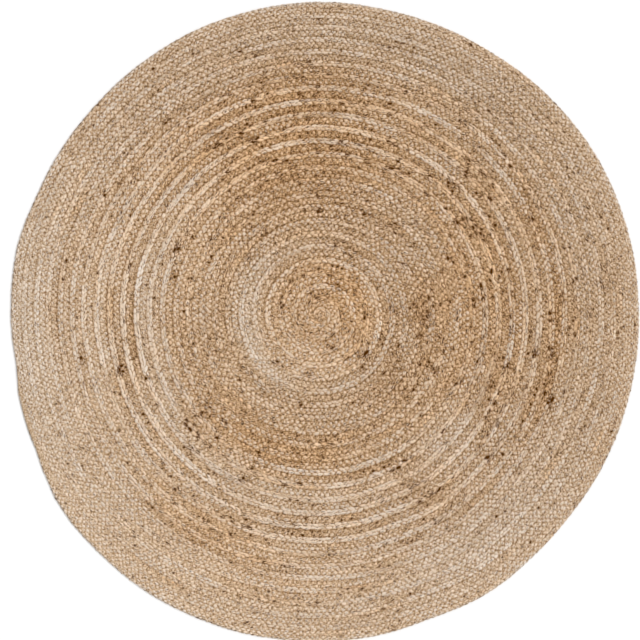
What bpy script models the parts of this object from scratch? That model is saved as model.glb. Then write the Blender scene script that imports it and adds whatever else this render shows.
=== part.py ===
"""A round jute rug: one flat plait, wound clockwise from the eye and sewn edge to edge.

Metres, +Z up. The origin is on the floor under the middle of the rug's box. Seen from
above, +X points right and +Y away from the viewer's feet. A place along the plait is
given in turns from the eye, and the plait's outer end tapers to a tip at the left side.
"""

import math

import bmesh
import bpy

# The winding: the outer rows are sewn tighter, and the last one is tightest
TURNS = 25.25
INNER_ROW = 0.0252
LAST_WIDE_TURN = 17.7
OUTER_ROW = 0.0228
RIM_ROW = 0.0187
RIM_TIGHTENS = 0.2
TIP_ANGLE = math.radians(190)

# The plait's section
THICKNESS = 0.0085
SEAM_DEPTH = 0.0018
RIM_HEIGHT = 0.0042
RIM_TUCK = 0.0030

# The mesh
STEPS_PER_TURN = 64
WELD_DISTANCE = 0.00001

# How much of a row's width is left near the tip
TAPER = (
    # turns before the tip, share of the width
    (0.000, 0.00),
    (0.014, 0.32),
    (0.040, 0.38),
    (0.056, 0.64),
    (0.070, 0.88),
    (0.085, 1.00),
)

# How far the edge lies outside a true spiral, and how fast the rows inside it even out
EVENS_OUT = 1.5
UNEVENNESS = (
    # angle in degrees, outward in millimetres
    (0, 9.5),
    (12, 11.3),
    (30, 11.7),
    (45, 8.5),
    (60, 3.7),
    (75, 2.6),
    (92, 4.9),
    (110, 3.5),
    (125, -0.8),
    (140, -3.6),
    (155, -2.4),
    (168, 4.2),
    (180, 2.0),
    (190, 0.0),
    (205, 4.2),
    (220, 9.8),
    (240, 15.6),
    (260, 18.0),
    (278, 17.0),
    (290, 12.3),
    (300, 16.3),
    (315, 10.8),
    (335, 9.8),
)

JUTE_COLOUR = (0.485, 0.332, 0.212, 1.0)
JUTE_ROUGHNESS = 0.95


def between(rows, at):
    """The value at this place in a table of (place, value) rows, eased from row to row."""
    for (start, first), (stop, last) in zip(rows, rows[1:]):
        if at <= stop:
            share = max(0, (at - start) / (stop - start))
            ease = share * share * (3 - 2 * share)
            return first + (last - first) * ease
    return rows[-1][1]


def unevenness(angle):
    """How far outward the edge lies at this angle, in metres."""
    wrapped = UNEVENNESS + ((UNEVENNESS[0][0] + 360, UNEVENNESS[0][1]),)
    return between(wrapped, math.degrees(angle) % 360) / 1000


def spiral_radius(turn):
    """Radius of the plait's outer edge that many turns out from the eye, before it tapers."""
    if turn <= 0:
        return 0.0
    if turn < 1:
        return INNER_ROW * math.sqrt(turn)
    wide = min(turn, LAST_WIDE_TURN)
    last = TURNS - 1
    tightened = between(((last - RIM_TIGHTENS, 0), (last, OUTER_ROW - RIM_ROW)), turn)
    return INNER_ROW * wide + OUTER_ROW * (turn - wide) - tightened


def edge_height(turn):
    """Height of the plait's outer edge: a seam, or the open rim round the last turn."""
    if turn > TURNS - 1 - 0.5 / STEPS_PER_TURN:
        return RIM_HEIGHT
    return THICKNESS - SEAM_DEPTH * min(1, max(0, turn))


def section(turn):
    """(radius, height) of the plait's inner edge, crown and outer edge at this turn."""
    inner = spiral_radius(turn - 1)
    width_left = between(TAPER, TURNS - turn)
    outer = inner + (spiral_radius(turn) - inner) * width_left
    inner_edge = (inner, edge_height(turn - 1))
    outer_edge = (outer, edge_height(turn))
    if turn < 1.5 / STEPS_PER_TURN:
        return inner_edge, inner_edge, outer_edge
    crown_height = RIM_HEIGHT + (THICKNESS - RIM_HEIGHT) * math.sqrt(width_left)
    return inner_edge, ((inner + outer) / 2, crown_height), outer_edge


def place(turn, radius, height):
    """The point at this radius on the spoke that the plait crosses at this turn."""
    angle = TIP_ANGLE + math.tau * (TURNS - turn)
    followed = (radius / spiral_radius(TURNS - 0.5)) ** EVENS_OUT
    stretched = radius + unevenness(angle) * followed
    return stretched * math.cos(angle), stretched * math.sin(angle), height


def wind_rows(mesh):
    """A long grid, laid along the spiral and welded to itself from turn to turn."""
    steps = round(TURNS * STEPS_PER_TURN)
    made = bmesh.ops.create_grid(mesh, x_segments=steps, y_segments=2, size=1)
    for vert in made["verts"]:
        turn = round((vert.co.x + 1) / 2 * steps) / STEPS_PER_TURN
        across = round(vert.co.y) + 1
        vert.co = place(turn, *section(turn)[across])
    bmesh.ops.remove_doubles(mesh, verts=mesh.verts, dist=WELD_DISTANCE)


def close_underside(mesh):
    """The rim rolls in under the outermost row, to a flat underside on the floor."""
    rim = [edge for edge in mesh.edges if edge.is_boundary]
    rolled = bmesh.ops.extrude_edge_only(mesh, edges=rim)["geom"]
    for vert in (item for item in rolled if isinstance(item, bmesh.types.BMVert)):
        tucked = 1 - RIM_TUCK / vert.co.xy.length
        vert.co = (vert.co.x * tucked, vert.co.y * tucked, 0)
    floor_edges = [item for item in rolled if isinstance(item, bmesh.types.BMEdge)]
    bmesh.ops.edgeloop_fill(mesh, edges=floor_edges)


def centre_on_origin(mesh):
    """The middle of the rug's box goes over the origin."""
    for axis in (0, 1):
        ends = [vert.co[axis] for vert in mesh.verts]
        middle = (min(ends) + max(ends)) / 2
        for vert in mesh.verts:
            vert.co[axis] -= middle


def jute_material():
    material = bpy.data.materials.new("jute")
    material.use_nodes = True
    shader = material.node_tree.nodes["Principled BSDF"]
    shader.inputs["Base Color"].default_value = JUTE_COLOUR
    shader.inputs["Roughness"].default_value = JUTE_ROUGHNESS
    shader.inputs["Metallic"].default_value = 0
    return material


def make_rug(collection):
    mesh = bmesh.new()
    wind_rows(mesh)
    close_underside(mesh)
    centre_on_origin(mesh)
    bmesh.ops.triangulate(mesh, faces=mesh.faces)
    bmesh.ops.recalc_face_normals(mesh, faces=mesh.faces)
    data = bpy.data.meshes.new("rug")
    mesh.to_mesh(data)
    mesh.free()
    data.shade_smooth()
    data.set_sharp_from_angle(angle=math.radians(35))
    data.materials.append(jute_material())
    rug = bpy.data.objects.new("rug", data)
    collection.objects.link(rug)


def main():
    for old in list(bpy.data.objects):
        bpy.data.objects.remove(old)
    collection = bpy.data.collections.new("round_jute_rug")
    bpy.context.scene.collection.children.link(collection)
    make_rug(collection)


main()
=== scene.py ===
"""A round jute rug, seen from straight above on a pale floor.

Five jute strands are plaited flat, and the plait is wound clockwise from the eye and sewn
edge to edge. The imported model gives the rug's box. Here its strands are laid along the same
winding, bead by bead, where each comes up between its neighbours.

Metres, +Z up. A place along the plait is given in turns from the eye or in metres, a place
across a row as a phase: 0 at its inner seam, 1 at its outer seam. Angles go counterclockwise
from +X.
"""

import math

import bmesh
import bpy
import numpy as np
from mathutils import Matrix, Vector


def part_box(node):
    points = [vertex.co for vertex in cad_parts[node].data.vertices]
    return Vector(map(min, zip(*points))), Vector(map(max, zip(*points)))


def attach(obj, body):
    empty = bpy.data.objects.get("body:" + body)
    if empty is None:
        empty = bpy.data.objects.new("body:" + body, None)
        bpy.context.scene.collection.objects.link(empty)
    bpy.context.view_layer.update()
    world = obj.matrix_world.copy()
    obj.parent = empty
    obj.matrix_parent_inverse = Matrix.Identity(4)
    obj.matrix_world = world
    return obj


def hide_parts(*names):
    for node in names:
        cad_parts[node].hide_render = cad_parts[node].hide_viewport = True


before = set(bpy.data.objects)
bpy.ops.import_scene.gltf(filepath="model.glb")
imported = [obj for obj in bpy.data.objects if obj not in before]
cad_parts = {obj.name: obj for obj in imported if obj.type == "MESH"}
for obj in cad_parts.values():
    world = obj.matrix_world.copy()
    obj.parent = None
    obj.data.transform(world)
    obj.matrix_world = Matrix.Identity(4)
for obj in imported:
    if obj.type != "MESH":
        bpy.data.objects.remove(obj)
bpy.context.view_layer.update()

# --- The winding, as in the part ---------------------------------------------------------

TURNS = 25.25
INNER_ROW = 0.0252
LAST_WIDE_TURN = 17.7
OUTER_ROW = 0.0228
RIM_ROW = 0.0187
RIM_TIGHTENS = 0.2
TIP_ANGLE = math.radians(190)
THICKNESS = 0.0085

# How much of a row's width is left near the tip
TAPER = (
    # turns before the tip, share of the width
    (0.000, 0.00),
    (0.014, 0.32),
    (0.040, 0.38),
    (0.056, 0.64),
    (0.070, 0.88),
    (0.085, 1.00),
)

# How far the edge lies outside a true spiral, and how fast the rows inside it even out
EVENS_OUT = 1.5
UNEVENNESS = (
    # angle in degrees, outward in millimetres
    (0, 9.5),
    (12, 11.3),
    (30, 11.7),
    (45, 8.5),
    (60, 3.7),
    (75, 2.6),
    (92, 4.9),
    (110, 3.5),
    (125, -0.8),
    (140, -3.6),
    (155, -2.4),
    (168, 4.2),
    (180, 2.0),
    (190, 0.0),
    (205, 4.2),
    (220, 9.8),
    (240, 15.6),
    (260, 18.0),
    (278, 17.0),
    (290, 12.3),
    (300, 16.3),
    (315, 10.8),
    (335, 9.8),
)


def eased(rows, at):
    """Values at these places in a table of (place, value) rows, eased from row to row."""
    places = np.array([row[0] for row in rows], float)
    values = np.array([row[1] for row in rows], float)
    row = np.clip(np.searchsorted(places, at) - 1, 0, len(places) - 2)
    share = np.clip((at - places[row]) / (places[row + 1] - places[row]), 0, 1)
    return values[row] + (values[row + 1] - values[row]) * share * share * (3 - 2 * share)


def unevenness(angle):
    """How far outward the edge lies at this angle, in metres."""
    wrapped = UNEVENNESS + ((UNEVENNESS[0][0] + 360, UNEVENNESS[0][1]),)
    return eased(wrapped, np.degrees(angle) % 360) / 1000


def spiral_radius(turn):
    """Radius of the plait's outer edge that many turns out from the eye, before it tapers."""
    turn = np.maximum(turn, 0)
    wide = np.minimum(turn, LAST_WIDE_TURN)
    last = TURNS - 1
    tightened = eased(((last - RIM_TIGHTENS, 0), (last, OUTER_ROW - RIM_ROW)), turn)
    wound = INNER_ROW * wide + OUTER_ROW * (turn - wide) - tightened
    return np.where(turn < 1, INNER_ROW * np.sqrt(turn), wound)


def width_left(turn):
    """Share of the row's width that the taper leaves here."""
    return eased(TAPER, TURNS - turn)


def angle_at(turn):
    """The angle at a turn, which falls as the plait winds clockwise."""
    return TIP_ANGLE + math.tau * (TURNS - turn)


def about_the_eye(turn, phase):
    """(x, y) from the eye of a place in the winding."""
    inner = spiral_radius(turn - 1)
    radius = inner + phase * (spiral_radius(turn) - inner) * width_left(turn)
    angle = angle_at(turn)
    followed = (np.maximum(radius, 0) / spiral_radius(TURNS - 0.5)) ** EVENS_OUT
    stretched = radius + unevenness(angle) * followed
    return np.stack([stretched * np.cos(angle), stretched * np.sin(angle)], axis=-1)


RIM_MARKS = 1440


def eye_place():
    """The eye lies where the outline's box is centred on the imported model's box."""
    rim = about_the_eye(TURNS - np.arange(0, 1, 1 / RIM_MARKS), 1.0)
    lowest, highest = (np.array(corner[:2]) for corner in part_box("rug"))
    return (lowest + highest) / 2 - (rim.min(axis=0) + rim.max(axis=0)) / 2


EYE = eye_place()


def lay(turn, phase, height):
    """Points of the rug, from places in the winding."""
    flat = about_the_eye(turn, phase) + EYE
    return np.concatenate([flat, np.asarray(height)[..., None]], axis=-1)


MARKS_PER_TURN = 720


def measure_plait():
    """The plait's length from the eye, turn by turn, along its middle."""
    turns = np.linspace(0, TURNS, round(TURNS * MARKS_PER_TURN) + 1)
    steps = np.linalg.norm(np.diff(about_the_eye(turns, 0.5), axis=0), axis=1)
    return turns, np.concatenate([[0], np.cumsum(steps)])


TURN_MARKS, LENGTH_MARKS = measure_plait()
PLAIT_LENGTH = LENGTH_MARKS[-1]


def turn_at(length):
    """The turn at a length along the plait."""
    return np.interp(length, LENGTH_MARKS, TURN_MARKS)


# --- The plait ---------------------------------------------------------------------------

STRANDS = 5
PERIOD = 0.055
ROW_WIDTH = 0.0248
BARE_AT_EYE = 0.004
BARE_AT_TIP = 0.006

# A strand shows as beads, where it comes up between its neighbours. Each row has four columns
# of them, in two pairs with a furrow between. The two columns nearer the eye are short; the
# others are drawn out where the rows stand out. The beat is a column's place in the period.
TOP_BEADS = (
    # beat, phase, slant in degrees, half length, half width, bowed outward by
    (0.4, 0.116, 8, 0.0041, 0.0032, 0.0000),
    (0.7, 0.330, 14, 0.0042, 0.0032, 0.0000),
    (0.2, 0.597, -12, 0.0060, 0.0031, 0.0000),
    (0.9, 0.803, 3, 0.0060, 0.0031, 0.0003),
)
UNDER_BEADS = (
    # beat, phase, slant in degrees, half length, half width, bowed outward by
    (0.6, 0.130, 30, 0.0050, 0.0028, 0.0000),
    (0.3, 0.375, -30, 0.0050, 0.0028, 0.0000),
    (0.8, 0.625, 30, 0.0050, 0.0028, 0.0000),
    (0.1, 0.870, -30, 0.0050, 0.0028, 0.0000),
)
RIM_BEADS = (
    # beat, phase, slant in degrees, half length, half width, bowed outward by
    (0.0, 0.920, 4, 0.0058, 0.0018, 0.0004),
)

# Middles of the two pairs of columns, and the share of the way to them by which the beads
# are drawn closer together, which makes the furrows between the pairs wider
PAIR_MIDDLES = (0.22, 0.70)
DRAWN_TOGETHER = (
    # angle in degrees, share of the way
    (0, -0.10),
    (45, 0.00),
    (90, 0.06),
    (135, 0.13),
    (180, 0.08),
    (225, -0.15),
    (270, 0.03),
    (315, 0.02),
    (360, -0.10),
)

# A bead's form: how high it is from its middle, how much narrower its ends are, and how far
# they dip between its neighbours. Only a bead up to this half length dips fully.
BEAD_HALF_HEIGHT = 0.0020
END_NARROWING = 0.38
END_SAG = 0.0018
ROUND_BEAD = 0.0043

# Half length of the longest bead where the rows don't stand out, and what they add to it
LONGEST_BEAD = 0.0040
DRAWN_OUT = 0.0013

# How high the beads' crests are across a row, and the middle of the beads on the rug's edge
RIM_HEIGHT = 0.0046
CREST_HEIGHT = (
    # phase, height
    (0.00, 0.0068),
    (0.13, 0.0076),
    (0.36, 0.0080),
    (0.62, 0.0083),
    (0.87, 0.0080),
    (1.00, 0.0068),
)

# How fast a bead's painted highlight falls off from its crest to its sides, which are painted in
# shade
HIGHLIGHT_FADE = 0.7

# Where a layer's beads face, in degrees across the plait
UP = 90
DOWN = 270
EDGE = 0

# How unevenly single beads lie: in degrees, shares and metres
LOOSE_SLANT = 7
LOOSE_LENGTH = 0.12
LOOSE_WIDTH = 0.08
LOOSE_ALONG = 0.0008
LOOSE_ACROSS = 0.0002
LOOSE_HEIGHT = 0.0002

# How far the whole plait wanders, and how much thicker or thinner a strand gets
PULL_ALONG = 0.0020
PUSH_ACROSS = 0.0005
STRAND_THICKENING = 0.06

# How thick the plait is left at its tip, and how far the beads keep within the rug's faces
TIP_THICKNESS = 0.45
LOWEST = 0.0001
HIGHEST = THICKNESS + 0.0006

# How strongly the rows stand out, from the eye outward: there the outer columns are paler and the
# inner ones browner, partly as painted light and shade, and the outer beads longer
ROW_CONTRAST = (
    # turn, strength
    (0, 0.5),
    (5, 0.8),
    (8, 0.4),
    (11, 0.5),
    (13, 1.5),
    (16, 1.6),
    (18, 1.0),
    (22, 0.6),
    (25, 0.2),
)

rng = np.random.default_rng(25)


class Wander:
    """Smooth random values along the plait, with a mark at each step, in some lanes."""

    spare = 2

    def __init__(self, step, lanes):
        marks = int(PLAIT_LENGTH / step) + 3 * self.spare
        self.step = step
        self.values = rng.normal(size=(lanes, marks))

    def at(self, lane, length):
        last = self.values.shape[1] - 2
        place = np.clip(length / self.step + self.spare, 0, last)
        first = np.floor(place).astype(int)
        share = place - first
        ease = share * share * (3 - 2 * share)
        row = self.values[lane]
        return row[first] * (1 - ease) + row[first + 1] * ease


PULLED = Wander(0.05, 1)
SHIFTED = Wander(0.12, 1)
THICKER = Wander(0.09, STRANDS)


def drawn_together(turn):
    """How much closer together the columns of a pair lie at this turn."""
    return eased(DRAWN_TOGETHER, np.degrees(angle_at(turn)) % 360)


def bead_centres(strand, beat):
    """Lengths along the plait of the beads in one column of one strand."""
    last = int(PLAIT_LENGTH / PERIOD + 2)
    length = (np.arange(-1, last) + beat - strand / STRANDS) * PERIOD
    return length[(length > BARE_AT_EYE) & (length < PLAIT_LENGTH - BARE_AT_TIP)]


def bead_points(strand, bead, length, facing, stations, sectors):
    """Points of beads, by bead, station along and sector round, with how far each is along its
    bead and round it, and how much painted highlight it gets, from its crest down to painted
    shade on its sides and dipping ends."""
    phase, slant, half_length, half_width, bow = bead[1:]
    slanted, longer, wider, ahead, aside, higher = rng.normal(size=(6, len(length), 1, 1))
    length = length[:, None, None]
    turn = turn_at(length)
    along = np.array(stations)[:, None]
    from_crest = np.radians(sectors)
    around = np.radians(facing + np.array(sectors))
    on_edge = facing == EDGE

    # Its size, and how its ends narrow and dip
    longest = LONGEST_BEAD + DRAWN_OUT * eased(ROW_CONTRAST, turn)
    half_length = np.minimum(half_length, longest) * (1 + LOOSE_LENGTH * longer)
    thicker = STRAND_THICKENING * THICKER.at(strand, length)
    half_width = half_width * (1 + LOOSE_WIDTH * wider + thicker)
    narrowed = 1 - END_NARROWING * along**2
    dips = np.minimum((ROUND_BEAD / half_length) ** 3, 1) * along**2
    forward = along * half_length
    sideways = half_width * narrowed * np.cos(around)
    upward = BEAD_HALF_HEIGHT * narrowed * np.sin(around)

    # Its place along the plait and across it, with its slant
    turned = np.radians(slant + LOOSE_SLANT * slanted)
    middle = length + PULL_ALONG * PULLED.at(0, length) + LOOSE_ALONG * ahead
    middle = middle + forward * np.cos(turned) - sideways * np.sin(turned)
    closer = 0 if on_edge else drawn_together(turn) * (PAIR_MIDDLES[int(phase > 0.5)] - phase)
    off = (phase + closer - 0.5) * ROW_WIDTH
    off = off + PUSH_ACROSS * SHIFTED.at(0, length) + LOOSE_ACROSS * aside
    off = off + forward * np.sin(turned) + sideways * np.cos(turned) + bow * (1 - along**2)

    # Its height: on the rug's edge, or up or down from the middle of the rug's thickness
    if on_edge:
        height = RIM_HEIGHT + upward
    else:
        upright = math.sin(math.radians(facing))
        crest = eased(CREST_HEIGHT, phase) + LOOSE_HEIGHT * higher - END_SAG * dips
        height = THICKNESS / 2 + upright * (crest - THICKNESS / 2 - BEAD_HALF_HEIGHT) + upward

    spread = 0 * along * around
    # Painted light: a highlight on the bead's crest, fading to painted shade on its sides and
    # where its ends dip under its neighbours
    painted_highlight = (1 - dips) * np.cos(HIGHLIGHT_FADE * from_crest)
    return middle, off, height, forward + spread, half_width * from_crest + spread, painted_highlight


def settle(length, off, height):
    """From the flat plait to the rug: the taper and the winding."""
    turn = turn_at(np.clip(length, 0, PLAIT_LENGTH))
    phase = 0.5 + off / ROW_WIDTH
    shrunk = TIP_THICKNESS + (1 - TIP_THICKNESS) * np.sqrt(np.clip(width_left(turn), 0, 1))
    return lay(turn, phase, np.clip(height * shrunk, LOWEST, HIGHEST))


# --- Mesh building -----------------------------------------------------------------------


def grid_faces(patches, rows, columns):
    """Quads of equal patches, each rows by columns points, one after another."""
    corner = np.arange(rows - 1)[:, None] * columns + np.arange(columns - 1)
    quad = np.stack([corner, corner + 1, corner + columns + 1, corner + columns], axis=-1)
    start = np.arange(patches) * rows * columns
    return (start[:, None, None] + quad.reshape(1, -1, 4)).reshape(-1, 4)


CELL_MARGIN = 0.07


def cell_map(count, rows, columns, low, high):
    """A map with one cell for each patch, in the band of the map from low to high."""
    across = math.ceil(math.sqrt(count / (high - low)))
    down = math.ceil(count / across)
    width, height = 1 / across, (high - low) / down
    u = np.linspace(CELL_MARGIN, 1 - CELL_MARGIN, rows)
    v = np.linspace(CELL_MARGIN, 1 - CELL_MARGIN, columns)
    cell = np.stack(np.meshgrid(u, v, indexing="ij"), axis=-1).reshape(1, -1, 2)
    index = np.arange(count)
    corner = np.stack([index % across, index // across], axis=-1)[:, None, :]
    placed = (corner + cell) * (width, height)
    placed[..., 1] += low
    return placed.reshape(-1, 2)


def make_mesh(name, points, quads, corner_uvs, values, material):
    """A smooth mesh object with its map and its named per-point values."""
    data = bpy.data.meshes.new(name)
    data.vertices.add(len(points))
    data.vertices.foreach_set("co", points.astype(np.float32).ravel())
    data.loops.add(quads.size)
    data.loops.foreach_set("vertex_index", quads.astype(np.int32).ravel())
    data.polygons.add(len(quads))
    data.polygons.foreach_set("loop_start", np.arange(0, quads.size, 4, dtype=np.int32))
    data.update(calc_edges=True)
    layer = data.uv_layers.new(name="OFBake")
    layer.data.foreach_set("uv", corner_uvs.astype(np.float32).ravel())
    for title, per_point in values.items():
        attribute = data.attributes.new(title, "FLOAT", "POINT")
        attribute.data.foreach_set("value", per_point.astype(np.float32).ravel())
    data.shade_smooth()
    data.materials.append(material)
    piece = bpy.data.objects.new(name, data)
    bpy.context.scene.collection.objects.link(piece)
    return piece


# --- Colours of the jute, bead by bead ---------------------------------------------------

# Tone across a row, where the rows stand out: the columns nearer the eye are browner, and the
# others lie proud and are paler and greyer. The paler and darker parts are painted light and
# shade, for the proud outer columns and the sunken inner ones, and the darker row edges are
# painted shade in the seams; the golden and grey tint is the jute's own
ROW_TONE_AND_PAINTED_LIGHT = (
    # phase, lighter by, more golden by
    (0.00, -0.4, 0.20),
    (0.10, -0.3, 0.15),
    (0.35, -0.3, 0.10),
    (0.58, 0.4, -0.10),
    (0.80, 0.3, -0.15),
    (0.96, -0.7, 0.30),
)

# The jute's tone from the eye outward. Over the last turn it is painted paler, as painted light
# that lifts the shade on the rug's edge
RADIAL_TONE = (
    # turn, lighter by, more golden by
    (0.0, 0.0, 0.6),
    (3.0, 0.4, 0.6),
    (4.5, 0.5, 0.3),
    (6.0, -0.3, -0.1),
    (8.0, -0.1, 0.0),
    (10.0, 0.1, 0.0),
    (12.0, 0.2, 0.0),
    (14.0, -0.1, -0.1),
    (17.0, -0.1, -0.2),
    (19.0, -0.1, -0.2),
    (21.0, 0.2, -0.5),
    # Painted light: the last turn is paler, lifting the shade on the rug's edge
    (24.2, 0.5, -0.6),
    (25.0, 1.0, -0.5),
)

# Stretches of the plait where the jute's tone differs, fading out either way
STRETCHES = (
    # angle, row from the eye, degrees either way, rows either way, lighter, more golden
    (95, 10.5, 45, 3.2, -0.8, 0.8),
    (105, 15.0, 42, 3.6, -0.5, 1.3),
    (95, 17.8, 20, 1.8, -0.6, 0.4),
    (135, 17.4, 40, 1.3, 0.6, 0.0),
    (140, 13.5, 34, 2.8, 0.6, -0.2),
    (5, 7.8, 24, 1.3, -1.0, 0.5),
    (5, 12.0, 40, 2.8, -0.6, 1.0),
    (5, 14.8, 34, 1.0, -0.5, 0.5),
    (-5, 17.9, 32, 0.9, -1.0, 1.1),
    (245, 10.6, 38, 1.6, -0.9, 1.1),
    (155, 9.4, 26, 2.0, 0.7, 0.1),
    (190, 5.6, 70, 0.9, 1.9, -1.5),
    (180, 13.4, 36, 1.1, 1.3, -1.2),
    (255, 13.6, 45, 0.9, 0.7, -0.6),
    (185, 21.5, 46, 4.5, 1.0, -0.3),
    (185, 23.5, 26, 2.2, 0.4, -1.5),
    (190, 17.4, 24, 1.2, 0.9, -0.4),
    (262, 20.0, 38, 4.0, 0.8, 0.1),
    (312, 21.0, 28, 3.2, 0.8, -1.2),
    (243, 19.2, 14, 0.7, -1.3, 0.7),
    (240, 18.0, 14, 1.3, 0.1, 0.8),
    (262, 20.6, 18, 1.0, 0.0, 0.6),
    (70, 22.0, 50, 2.4, -0.4, -0.7),
    (45, 9.6, 22, 1.6, 0.0, -0.8),
    (315, 13.0, 14, 1.6, 0.7, -1.3),
    (45, 3.0, 70, 1.8, -0.7, 1.2),
    (270, 4.0, 24, 1.2, 0.6, 0.0),
    (240, 6.7, 18, 1.2, -0.6, 0.1),
    (325, 8.5, 28, 3.0, -0.5, 0.1),
    (345, 21.5, 30, 3.0, -0.45, 0.1),
    (28, 17.4, 16, 1.2, -0.5, 0.3),
    (172, 16.7, 18, 0.3, 1.3, -0.7),
    (184, 16.0, 12, 0.3, -1.3, 0.9),
    (184, 14.3, 12, 0.3, -1.7, 1.2),
    (177, 20.3, 9, 0.3, -1.6, 0.6),
)

# Knots of dark bark
KNOTS = (
    # angle, row from the eye, strength
    (165, 11.5, 1.6),
    (155, 12.0, 1.0),
    (190, 18.5, 1.2),
    (195, 15.5, 1.4),
    (200, 14.0, 1.0),
    (245, 13.5, 1.5),
    (340, 18.5, 1.3),
    (320, 16.5, 0.9),
    (345, 14.5, 0.8),
    (320, 4.5, 1.2),
    (260, 4.5, 0.9),
    (60, 2.5, 1.2),
    (65, 8.5, 1.1),
    (90, 8.0, 1.2),
    (125, 17.5, 1.1),
    (150, 19.0, 1.0),
    (45, 14.0, 0.9),
)
KNOT_REACH = 0.007

# How far the tone wanders by itself: in whole rows, half rows and columns of beads. Of the
# lanes, the first half are for lighter and the others for more golden.
COLUMNS = len(TOP_BEADS)
WANDERS = (
    # wander, columns to a lane, lighter by, more golden by
    (Wander(0.14, 2), COLUMNS, 0.25, 0.25),
    (Wander(0.07, 4), 2, 0.35, 0.75),
    (Wander(0.05, 8), 1, 0.60, 0.50),
)
BARK = Wander(0.030, 2)

# How the tone across a row comes and goes along the plait, and at most how many times it is
TWO_TONED = Wander(0.25, 1)
MOST_TWO_TONED = 3

# How far single beads differ, and how much more golden a darker bead is
BEAD_LIGHTER = 0.60
BEAD_GOLDEN = 0.05
DARK_IS_GOLDEN = 0.12

# How much bark a bead can have: more where it is golden or dark, and in a knot
BARK_SHARE = 0.55
BARK_BY_TONE = 0.2
BARK_WANDER = 0.3
LEAST_BARK = 0.05
MOST_BARK = 1.2
KNOT_BARK = 1.4


def from_table(table, at):
    """Lighter and golden at these places, from a table's second and third columns."""
    return eased([row[:2] for row in table], at), eased([row[::2] for row in table], at)


def jute_tones(turn, phase):
    """The jute's tone at places in the winding, with the painted light on its last turn: lighter,
    golden.
    """
    lighter, golden = from_table(RADIAL_TONE, turn)
    angle = np.degrees(angle_at(turn))
    row = turn - 1 + phase
    for middle, middle_row, degrees_off, rows_off, more_light, more_gold in STRETCHES:
        turned = (angle - middle + 180) % 360 - 180
        near = np.exp(-((turned / degrees_off) ** 2) - ((row - middle_row) / rows_off) ** 2)
        lighter += more_light * near
        golden += more_gold * near
    return lighter, golden


def knotted(turn, phase):
    """How deep in a knot of bark places in the winding are."""
    angle = angle_at(turn)
    row = turn - 1 + phase
    strength = np.zeros_like(turn)
    for middle, middle_row, depth in KNOTS:
        turned = (angle - math.radians(middle) + math.pi) % math.tau - math.pi
        along = turned * middle_row * INNER_ROW / KNOT_REACH
        across = (row - middle_row) * INNER_ROW / KNOT_REACH
        strength += depth * np.exp(-(along**2) - 2 * across**2)
    return strength


def bead_tones(column, length, phase):
    """Per-bead colour values: lighter, golden, speck."""
    turn = turn_at(np.clip(length, 0, PLAIT_LENGTH))
    count = len(length)
    lighter, golden = jute_tones(turn, phase)
    strength = eased(ROW_CONTRAST, turn) * np.clip(1 + TWO_TONED.at(0, length), 0, MOST_TWO_TONED)
    # Painted light and shade across the row, with the jute's own tint
    row_lighter, row_golden = from_table(ROW_TONE_AND_PAINTED_LIGHT, phase)
    lighter += strength * row_lighter
    golden += strength * row_golden
    for wander, columns, more_light, more_gold in WANDERS:
        lane = column // columns
        lighter += more_light * wander.at(lane, length)
        golden += more_gold * wander.at(lane + COLUMNS // columns, length)
    lighter += BEAD_LIGHTER * rng.normal(size=count)
    golden += BEAD_GOLDEN * rng.normal(size=count)
    likely = BARK_SHARE + BARK_BY_TONE * (golden - lighter)
    likely += BARK_WANDER * BARK.at(column // 2, length)
    speck = np.clip(likely, LEAST_BARK, MOST_BARK) * rng.random(count) ** 2
    speck += KNOT_BARK * knotted(turn, phase)
    return lighter, golden - DARK_IS_GOLDEN * lighter, speck


# Each layer of beads: stations lie along a bead, from end to end, and sectors round it, in
# degrees from its crest
TOP_STATIONS = (-1.0, -0.64, -0.22, 0.22, 0.64, 1.0)
TOP_SECTORS = (-102, -56, 0, 56, 102)
UNDER_STATIONS = (-1.0, -0.4, 0.4, 1.0)
UNDER_SECTORS = (-84, 0, 84)
LAYERS = (
    # beads, facing, stations, sectors, band of the map, lighter by, which paints light on the
    # rim's beads, shaded where they face out
    (TOP_BEADS, UP, TOP_STATIONS, TOP_SECTORS, (0.260, 0.995), 0.0),
    (UNDER_BEADS, DOWN, UNDER_STATIONS, UNDER_SECTORS, (0.030, 0.250), 0.0),
    (RIM_BEADS, EDGE, UNDER_STATIONS, TOP_SECTORS, (0.002, 0.025), 1.8),
)

# How far apart in the fibres' grain two beads lie, for each metre between them
GRAIN_APART = 7.3


def make_column(strand, layer, column):
    """One column of a strand's beads: points, quads, corner map and per-point values."""
    beads, facing, stations, sectors, (low, high), painted_light = layer
    bead = beads[column]
    beat, phase = bead[:2]
    length = bead_centres(strand, beat)
    if facing == EDGE:
        length = length[turn_at(length) > TURNS - 1]
    *place, along, around, crest = bead_points(strand, bead, length, facing, stations, sectors)
    grid = settle(*place)
    tones = bead_tones(column, length, phase)
    lighter, golden, speck = (tone[:, None, None] + np.zeros_like(crest) for tone in tones)
    quads = grid_faces(*crest.shape)
    share = (high - low) / len(beads)
    cells = cell_map(*crest.shape, low + column * share, low + (column + 1) * share)
    values = {
        # Painted light on the rim's beads, which face outward into shade
        "lighter": lighter + painted_light,
        "golden": golden,
        "speck": speck,
        "crest": crest,
        "along": along + (length * GRAIN_APART + strand)[:, None, None],
        "around": around,
    }
    return grid.reshape(-1, 3), quads, cells[quads.ravel()], values


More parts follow.
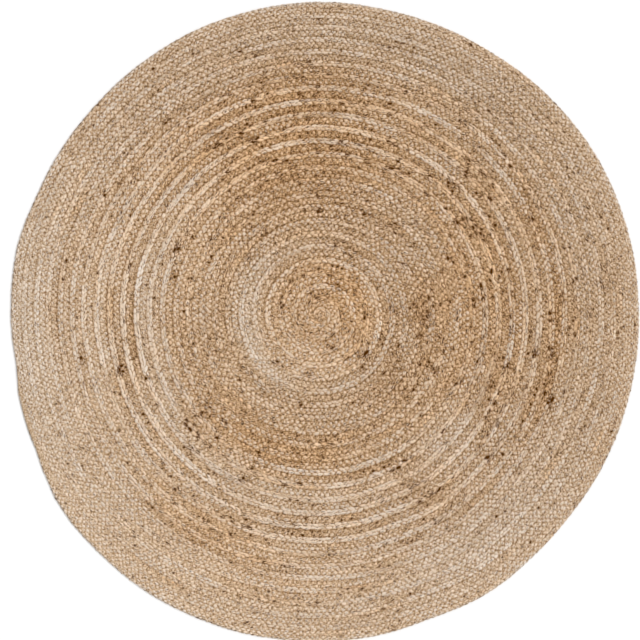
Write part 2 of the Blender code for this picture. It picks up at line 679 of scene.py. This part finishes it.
def make_strand(strand, material):
    """One strand of the plait, from the eye to the tip: every bead of it above and below."""
    parts = [
        make_column(strand, layer, column)
        for layer in LAYERS
        for column in range(len(layer[0]))
    ]
    points, quads, corner_uvs, values = zip(*parts)
    starts = np.cumsum([0, *map(len, points[:-1])])
    return make_mesh(
        f"strand_{strand + 1}",
        np.concatenate(points),
        np.concatenate([own + start for own, start in zip(quads, starts)]),
        np.concatenate(corner_uvs),
        {title: np.concatenate([part[title].ravel() for part in values]) for title in values[0]},
        material,
    )


# --- The plait's body, which shows between the beads -------------------------------------

BODY_STEPS = 96
BODY_WELD = 0.00002
BODY_LINES = (
    # phase, height of its top, height of its underside, lighter by, which paints shade along the
    # seam and the furrow
    (0.00, 0.0058, 0.0030, -1.0),
    (0.22, 0.0067, 0.0026, 0.2),
    (0.46, 0.0063, 0.0026, -1.0),
    (0.71, 0.0068, 0.0026, 0.2),
)
BODY_PHASES, BODY_TOPS, BODY_UNDERSIDES, BODY_LINE_SHADING = np.array(BODY_LINES).T

# How far the body keeps in from the rug's edge, and how its colour differs from the beads': more
# golden, darker in the furrows where they are wider, as painted shade, and darker in knots of
# bark
BODY_TUCK = 0.0016
BODY_GOLDEN = 0.4
FURROW_SHADE_DEEPENS = 5
KNOT_DARKENS = 3

# The body's map: its top fills the lower half, its underside the upper, its rim a thin band
LAYER_BAND = 0.49
UNDER_BAND = 0.5
RIM_BAND = (0.992, 0.999)


def body_layer(heights):
    """One layer of points: a row of them for each step along the plait. Past the tip they
    lie along the rug's edge, so that the last turn has an outer side."""
    steps = round(TURNS * BODY_STEPS)
    turn = np.arange(steps + BODY_STEPS + 1)[:, None] / BODY_STEPS
    past_tip = turn > TURNS
    phase = np.where(past_tip, 1.0, BODY_PHASES)
    own_turn = np.where(past_tip, turn - 1, turn)
    points = lay(own_turn, phase, heights + 0 * own_turn)
    out = (points[..., :2] - EYE) * past_tip[..., None]
    reach = np.maximum(np.linalg.norm(out, axis=-1, keepdims=True), BODY_TUCK)
    points[..., :2] -= out / reach * BODY_TUCK
    return points


def body_tones():
    """Per-point colour values of the body's two layers: lighter, golden."""
    points = round(TURNS * BODY_STEPS) + BODY_STEPS + 1
    turn = np.minimum(np.arange(points)[:, None] / BODY_STEPS, TURNS) + 0 * BODY_PHASES
    lighter, golden = jute_tones(turn, BODY_PHASES)
    # Painted shade along the seams and furrows, deeper where the furrows are wider
    lighter += BODY_LINE_SHADING * (1 + FURROW_SHADE_DEEPENS * drawn_together(turn))
    lighter -= KNOT_DARKENS * knotted(turn, BODY_PHASES)
    golden += BODY_GOLDEN
    both = {"lighter": lighter.ravel(), "golden": golden.ravel()}
    return {title: np.concatenate([values, values]) for title, values in both.items()}


def body_sheet():
    """Quads of one layer of the body, with their corners in the map's lower half."""
    steps = round(TURNS * BODY_STEPS)
    lines = len(BODY_LINES)
    step = np.arange(steps)[:, None] + np.zeros((1, lines), int)
    line = np.arange(lines)[None, :] + np.zeros((steps, 1), int)

    def index(step, line):
        """Past the last line comes the inner seam of the next turn."""
        return (step + line // lines * BODY_STEPS) * lines + line % lines

    corners = ((step, line), (step, line + 1), (step + 1, line + 1), (step + 1, line))
    quads = np.stack([index(*corner) for corner in corners], axis=-1).reshape(-1, 4)
    rows = math.ceil(TURNS) + 1
    u = [(step % BODY_STEPS + over) / BODY_STEPS for over in (0, 0, 1, 1)]
    v = [(step // BODY_STEPS + (line + over) / lines) / rows for over in (0, 1, 1, 0)]
    corner_uvs = np.stack([np.stack(u, -1), LAYER_BAND * np.stack(v, -1)], axis=-1)
    return quads, corner_uvs.reshape(-1, 4, 2)


def body_rim(layer_size):
    """Quads that close the edge between the body's two layers, with their corners' map."""
    step = np.arange(BODY_STEPS)
    inner = (round(TURNS * BODY_STEPS) + step) * len(BODY_LINES)
    outer = inner + len(BODY_LINES)
    quads = np.stack([inner, inner + layer_size, outer + layer_size, outer], axis=-1)
    low, high = RIM_BAND
    u = np.stack([step, step, step + 1, step + 1], axis=-1) / BODY_STEPS
    v = np.array([low, high, high, low]) + np.zeros_like(u)
    return quads, np.stack([u, v], axis=-1)


def weld_body(data):
    """The layers' turns are joined at their seams, into one closed sheet."""
    mesh = bmesh.new()
    mesh.from_mesh(data)
    bmesh.ops.remove_doubles(mesh, verts=mesh.verts, dist=BODY_WELD)
    unused = [vert for vert in mesh.verts if not vert.link_faces]
    bmesh.ops.delete(mesh, geom=unused, context="VERTS")
    bmesh.ops.recalc_face_normals(mesh, faces=mesh.faces)
    mesh.to_mesh(data)
    mesh.free()


def make_body(material):
    """One closed sheet, laid along the winding, that fills the plait between its strands."""
    top_points = body_layer(BODY_TOPS).reshape(-1, 3)
    low_points = body_layer(BODY_UNDERSIDES).reshape(-1, 3)
    size = len(top_points)
    sheet, sheet_uvs = body_sheet()
    rim, rim_uvs = body_rim(size)
    piece = make_mesh(
        "plait_body",
        np.concatenate([top_points, low_points]),
        np.concatenate([sheet, sheet[:, ::-1] + size, rim]),
        np.concatenate([sheet_uvs, sheet_uvs[:, ::-1] + (0, UNDER_BAND), rim_uvs]),
        body_tones(),
        material,
    )
    weld_body(piece.data)
    return piece


# --- Materials ---------------------------------------------------------------------------

NOISE_ROUGHNESS = 0.6


class Nodes:
    """Short ways to add and link the nodes of one material."""

    def __init__(self, name, roughness, specular):
        self.material = bpy.data.materials.new(name)
        self.material.use_nodes = True
        self.tree = self.material.node_tree
        self.shader = self.tree.nodes["Principled BSDF"]
        self.shader.inputs["Roughness"].default_value = roughness
        self.shader.inputs["Specular IOR Level"].default_value = specular

    def put(self, socket, value):
        if isinstance(value, bpy.types.NodeSocket):
            self.tree.links.new(value, socket)
        else:
            socket.default_value = value

    def add(self, kind, inputs=(), **settings):
        node = self.tree.nodes.new(kind)
        for title, value in settings.items():
            setattr(node, title, value)
        for title, value in dict(inputs).items():
            self.put(node.inputs[title], value)
        return node

    def math(self, operation, *values):
        node = self.add("ShaderNodeMath", operation=operation)
        for socket, value in zip(node.inputs, values):
            self.put(socket, value)
        return node.outputs[0]

    def total(self, *terms):
        """The sum of values, each times its weight."""
        result = 0.0
        for value, weight in terms:
            result = self.math("MULTIPLY_ADD", value, weight, result)
        return result

    def value_of(self, title):
        return self.add("ShaderNodeAttribute", attribute_name=title).outputs["Fac"]

    def noise(self, place, scale, detail):
        inputs = {"Vector": place, "Scale": scale, "Detail": detail, "Roughness": NOISE_ROUGHNESS}
        return self.add("ShaderNodeTexNoise", inputs).outputs["Fac"]

    def streaks(self, along, around, lengthwise, crosswise, seed, detail):
        """Noise drawn out along a strand, centred on 0, with its waves to a metre."""
        x = self.math("MULTIPLY", along, lengthwise)
        y = self.math("MULTIPLY", around, crosswise)
        place = self.add("ShaderNodeCombineXYZ", {"X": x, "Y": y, "Z": seed}).outputs[0]
        return self.math("SUBTRACT", self.noise(place, 1.0, detail), 0.5)

    def ramp(self, at, stops):
        node = self.add("ShaderNodeValToRGB", {"Fac": at})
        elements = node.color_ramp.elements
        while len(elements) < len(stops):
            elements.new(0.5)
        for element, (place, colour) in zip(elements, stops):
            element.position = place
            element.color = (*colour, 1.0)
        return node.outputs["Color"]

    def mix(self, share, first, second, blend="MIX"):
        node = self.add("ShaderNodeMix", data_type="RGBA", blend_type=blend)
        sockets = {socket.identifier: socket for socket in node.inputs}
        for title, value in (("Factor_Float", share), ("A_Color", first), ("B_Color", second)):
            self.put(sockets[title], (*value, 1.0) if isinstance(value, tuple) else value)
        return next(socket for socket in node.outputs if socket.identifier == "Result_Color")

    def surface(self, colour, height, strength, distance):
        """The shader's colour, and its bump from a height."""
        self.put(self.shader.inputs["Base Color"], colour)
        inputs = {"Height": height, "Strength": strength, "Distance": distance}
        bump = self.add("ShaderNodeBump", inputs)
        self.put(self.shader.inputs["Normal"], bump.outputs["Normal"])


# Jute's colours, and its bark's
JUTE_TONES = (
    # place on the scale from dark to pale, colour
    (0.00, (0.070, 0.031, 0.010)),
    (0.20, (0.225, 0.122, 0.052)),
    (0.40, (0.430, 0.279, 0.155)),
    (0.60, (0.612, 0.446, 0.302)),
    (0.80, (0.745, 0.578, 0.427)),
    (1.00, (0.840, 0.687, 0.540)),
)
BARK_BROWN = (0.070, 0.021, 0.001)

# How far one step lighter goes on that scale, and one step more golden or grey to its tint
TONE_STEP = 0.075
TINT_STEP = 0.5
GOLDEN_TINT = (1.07, 0.955, 0.79)
GREY_TINT = (0.935, 1.0, 1.10)

# Streaks of fibres: waves to a metre along and round a strand, seed, detail. The twist turns
# them round the strand as they run along it.
TWIST = 0.30
FINE_FIBRES = (330.0, 420.0, 0.0, 2.0)
COARSE_FIBRES = (150.0, 520.0, 7.0, 1.0)
BARK_FIBRES = (110.0, 520.0, 21.0, 1.0)

# A strand's tone and colour: its middle, and what the streaks, the painted highlight on the
# crests and the bark add
STRAND_TONE = 0.488
FINE_CONTRAST = 0.32
COARSE_CONTRAST = 0.44
CREST_PAINTED_HIGHLIGHT = 0.22
STRAND_GOLDEN = -0.06
CREST_HIGHLIGHT_GOLDEN = -0.3
BARK_GOLDEN = 0.8

# Bark shows where its streaks and the bead's share of it pass a threshold
BARK_CONTRAST = 20.0
BARK_WEIGHT = 4.2
BARK_THRESHOLD = 1.9

# The matted fibres of the body: their scale, contrast and middle tone, which is dark as painted
# shade between the strands
MAT_SCALE = 300.0
MAT_DETAIL = 3.0
MAT_CONTRAST = 2.0
MAT_SHADED_TONE = -0.62

# Bumps of the fibres: strength, depth
STRAND_BUMP = (0.6, 0.0006)
BODY_BUMP = (0.5, 0.0005)


def coloured(nodes, tone, golden):
    """Jute's colour for a tone, turned golden, or grey where that is below 0."""
    colour = nodes.ramp(tone, JUTE_TONES)
    more_golden = nodes.mix(1.0, colour, GOLDEN_TINT, "MULTIPLY")
    more_grey = nodes.mix(1.0, colour, GREY_TINT, "MULTIPLY")
    colour = nodes.mix(nodes.math("MULTIPLY", golden, TINT_STEP), colour, more_golden)
    return nodes.mix(nodes.math("MULTIPLY", golden, -TINT_STEP), colour, more_grey)


def jute_strands():
    """Jute fibres twisted into a strand: streaks along it, tones from bead to bead, and a painted
    highlight on each bead's crest.
    """
    nodes = Nodes("jute_strands", roughness=0.9, specular=0.06)
    along = nodes.value_of("along")
    twisted = nodes.total((nodes.value_of("around"), 1.0), (along, TWIST))
    fine = nodes.streaks(along, twisted, *FINE_FIBRES)
    coarse = nodes.streaks(along, twisted, *COARSE_FIBRES)
    bark = nodes.streaks(along, twisted, *BARK_FIBRES)
    crest = nodes.value_of("crest")
    speck = nodes.value_of("speck")
    # The crest terms paint a paler, greyer highlight on each bead's crest, and shade on its sides
    # and dipping ends
    tone = nodes.total(
        (nodes.value_of("lighter"), TONE_STEP),
        (fine, FINE_CONTRAST),
        (coarse, COARSE_CONTRAST),
        (crest, CREST_PAINTED_HIGHLIGHT),
    )
    golden = nodes.total(
        (nodes.value_of("golden"), 1.0),
        (crest, CREST_HIGHLIGHT_GOLDEN),
        (speck, BARK_GOLDEN),
    )
    tone = nodes.math("ADD", tone, STRAND_TONE)
    golden = nodes.math("ADD", golden, STRAND_GOLDEN)
    patchy = nodes.total((bark, BARK_CONTRAST), (speck, BARK_WEIGHT))
    share = nodes.math("SUBTRACT", patchy, BARK_THRESHOLD)
    colour = nodes.mix(share, coloured(nodes, tone, golden), BARK_BROWN)
    nodes.surface(colour, nodes.math("ADD", fine, coarse), *STRAND_BUMP)
    return nodes.material


def jute_body_in_shade():
    """The same jute, deep between the strands: matted, and painted darker as the shade that falls
    between them.
    """
    nodes = Nodes("jute_body_in_shade", roughness=0.95, specular=0.05)
    place = nodes.add("ShaderNodeTexCoord").outputs["Object"]
    matted = nodes.noise(place, MAT_SCALE, MAT_DETAIL)
    tone = nodes.total((nodes.value_of("lighter"), TONE_STEP), (matted, MAT_CONTRAST))
    tone = nodes.math("ADD", tone, MAT_SHADED_TONE)
    nodes.surface(coloured(nodes, tone, nodes.value_of("golden")), matted, *BODY_BUMP)
    return nodes.material


# --- Floor, light and camera -------------------------------------------------------------

# What the camera sees at the height of the rug's top, from straight above
FRAME_WIDTH = 1.2288
FRAME_MIDDLE = (-0.0095, 0.0037)
CAMERA_HEIGHT = 5.0
SENSOR = 36.0
FARTHEST = 50

FLOOR_SIDE = 16.0
FLOOR_COLOUR = (0.92, 0.92, 0.92, 1.0)
SKY_COLOUR = (1.0, 1.0, 1.0, 1.0)
SKY_STRENGTH = 0.66
KEY_FROM = (2.1, 0.7, 4.6)
KEY_SOFTNESS = math.radians(30)
KEY_STRENGTH = 1.75


def make_floor():
    bpy.ops.mesh.primitive_plane_add(size=FLOOR_SIDE, location=(0, 0, 0))
    floor = bpy.context.object
    floor.name = "floor"
    nodes = Nodes("pale_floor", roughness=0.9, specular=0.2)
    nodes.put(nodes.shader.inputs["Base Color"], FLOOR_COLOUR)
    floor.data.materials.append(nodes.material)


def make_light():
    world = bpy.data.worlds.new("studio")
    world.use_nodes = True
    background = world.node_tree.nodes["Background"]
    background.inputs["Color"].default_value = SKY_COLOUR
    background.inputs["Strength"].default_value = SKY_STRENGTH
    bpy.context.scene.world = world
    bpy.ops.object.light_add(type="SUN", location=KEY_FROM)
    key = bpy.context.object
    key.name = "key"
    key.data.angle = KEY_SOFTNESS
    key.data.energy = KEY_STRENGTH
    key.rotation_euler = (-key.location).to_track_quat("-Z", "Y").to_euler()


def make_camera():
    lens = bpy.data.cameras.new("camera")
    lens.sensor_width = SENSOR
    lens.lens = SENSOR * (CAMERA_HEIGHT - THICKNESS) / FRAME_WIDTH
    lens.clip_end = FARTHEST
    camera = bpy.data.objects.new("camera", lens)
    camera.location = (*FRAME_MIDDLE, CAMERA_HEIGHT)
    bpy.context.scene.collection.objects.link(camera)
    bpy.context.scene.camera = camera
    bpy.context.scene.view_settings.view_transform = "Standard"


# --- Putting it together -----------------------------------------------------------------


def main():
    strand_material = jute_strands()
    strands = [make_strand(strand, strand_material) for strand in range(STRANDS)]
    body = make_body(jute_body_in_shade())
    for piece in (body, *strands):
        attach(piece, "root")
        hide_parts("rug")
    make_floor()
    make_light()
    make_camera()


main()
